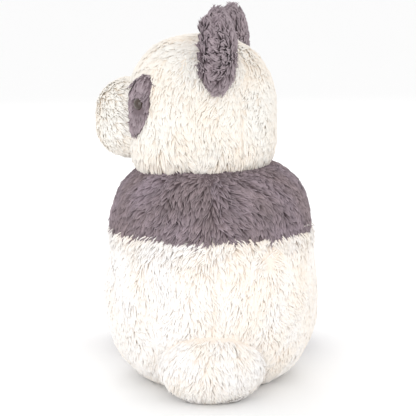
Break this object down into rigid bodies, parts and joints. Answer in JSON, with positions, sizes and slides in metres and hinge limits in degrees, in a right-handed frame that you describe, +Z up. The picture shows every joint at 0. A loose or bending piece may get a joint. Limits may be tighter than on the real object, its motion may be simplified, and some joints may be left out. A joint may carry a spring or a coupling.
{
  "type": "plush panda",
  "caption": "Seated long-pile plush panda with a turning head, sewn limbs, folding ears and a round tail.",
  "frame": {"origin": "centre of the flat seat under the body, on the surface the toy sits on", "axes": "+Z up; the body faces -Y, so the toy's own left is +X"},
  "size_m": [0.1785, 0.2429, 0.2986],
  "materials": {
    "cream_plush": "matte",
    "taupe_plush": "matte",
    "wadding": "matte",
    "pouch_cloth": "matte",
    "pellets": "matte",
    "joint_plastic": "satin",
    "nose_plastic": "satin",
    "eye_plastic": "gloss",
    "thread": "matte"
  },
  "bodies": {
    "torso": {"seat_panel": "cream_plush", "belly_panel": "cream_plush", "back_panel_left": "cream_plush", "back_panel_right": "cream_plush", "chest_panel": "taupe_plush", "yoke_left": "taupe_plush", "yoke_right": "taupe_plush", "body_stuffing": "wadding", "pellet_pouch": "pouch_cloth", "pellet_fill": "pellets", "neck_disc_body": "joint_plastic"},
    "head": {"neck_disc_head": "joint_plastic", "neck_lock_washer": "joint_plastic", "head_base": "cream_plush", "head_side_left": "cream_plush", "head_side_right": "cream_plush", "head_gusset": "cream_plush", "head_back": "cream_plush", "head_stuffing": "wadding", "muzzle_cover": "cream_plush", "muzzle_stuffing": "wadding", "nose": "nose_plastic", "mouth_stitch": "thread", "eye_patch_left": "taupe_plush", "eye_patch_right": "taupe_plush", "eye_left": "eye_plastic", "eye_right": "eye_plastic", "eye_washer_left": "joint_plastic", "eye_washer_right": "joint_plastic"},
    "ear_left": {"ear_left_front": "taupe_plush", "ear_left_back": "taupe_plush"},
    "ear_right": {"ear_right_front": "taupe_plush", "ear_right_back": "taupe_plush"},
    "arm_left": {"arm_left_cover": "taupe_plush", "arm_left_stuffing": "wadding"},
    "arm_right": {"arm_right_cover": "taupe_plush", "arm_right_stuffing": "wadding"},
    "leg_left": {"leg_left_cover": "taupe_plush", "leg_left_sole": "taupe_plush", "leg_left_stuffing": "wadding"},
    "leg_right": {"leg_right_cover": "taupe_plush", "leg_right_sole": "taupe_plush", "leg_right_stuffing": "wadding"},
    "tail": {"tail_cover": "cream_plush", "tail_stuffing": "wadding"}
  },
  "joints": [
    {"name": "neck_turn", "type": "hinge", "parent": "torso", "child": "head", "pos_m": [0, 0, 0.175], "axis": [0, 0, 1], "range_deg": [-164, 8]},
    {"name": "ear_left_fold", "type": "hinge", "parent": "head", "child": "ear_left", "pos_m": [-0.00505, 0.04312, 0.2568], "axis": [0.135, 0.9609, -0.2419], "range_deg": [-10, 10]},
    {"name": "ear_right_fold", "type": "hinge", "parent": "head", "child": "ear_right", "pos_m": [-0.01674, -0.04006, 0.2568], "axis": [0.135, 0.9609, 0.2419], "range_deg": [-10, 10]},
    {"name": "arm_left_swing", "type": "hinge", "parent": "torso", "child": "arm_left", "pos_m": [0.05364, -0.05957, 0.14], "axis": [-1, 0, 0], "range_deg": [-5, 45]},
    {"name": "arm_right_swing", "type": "hinge", "parent": "torso", "child": "arm_right", "pos_m": [-0.05364, -0.05957, 0.14], "axis": [-1, 0, 0], "range_deg": [-5, 45]},
    {"name": "leg_left_lift", "type": "hinge", "parent": "torso", "child": "leg_left", "pos_m": [0.04015, -0.06953, 0.0292], "axis": [-1, 0, 0], "range_deg": [0, 15]},
    {"name": "leg_right_lift", "type": "hinge", "parent": "torso", "child": "leg_right", "pos_m": [-0.04015, -0.06953, 0.0292], "axis": [-1, 0, 0], "range_deg": [0, 15]},
    {"name": "tail_lift", "type": "hinge", "parent": "torso", "child": "tail", "pos_m": [0, 0.08159, 0.054], "axis": [1, 0, 0], "range_deg": [0, 14]}
  ]
}
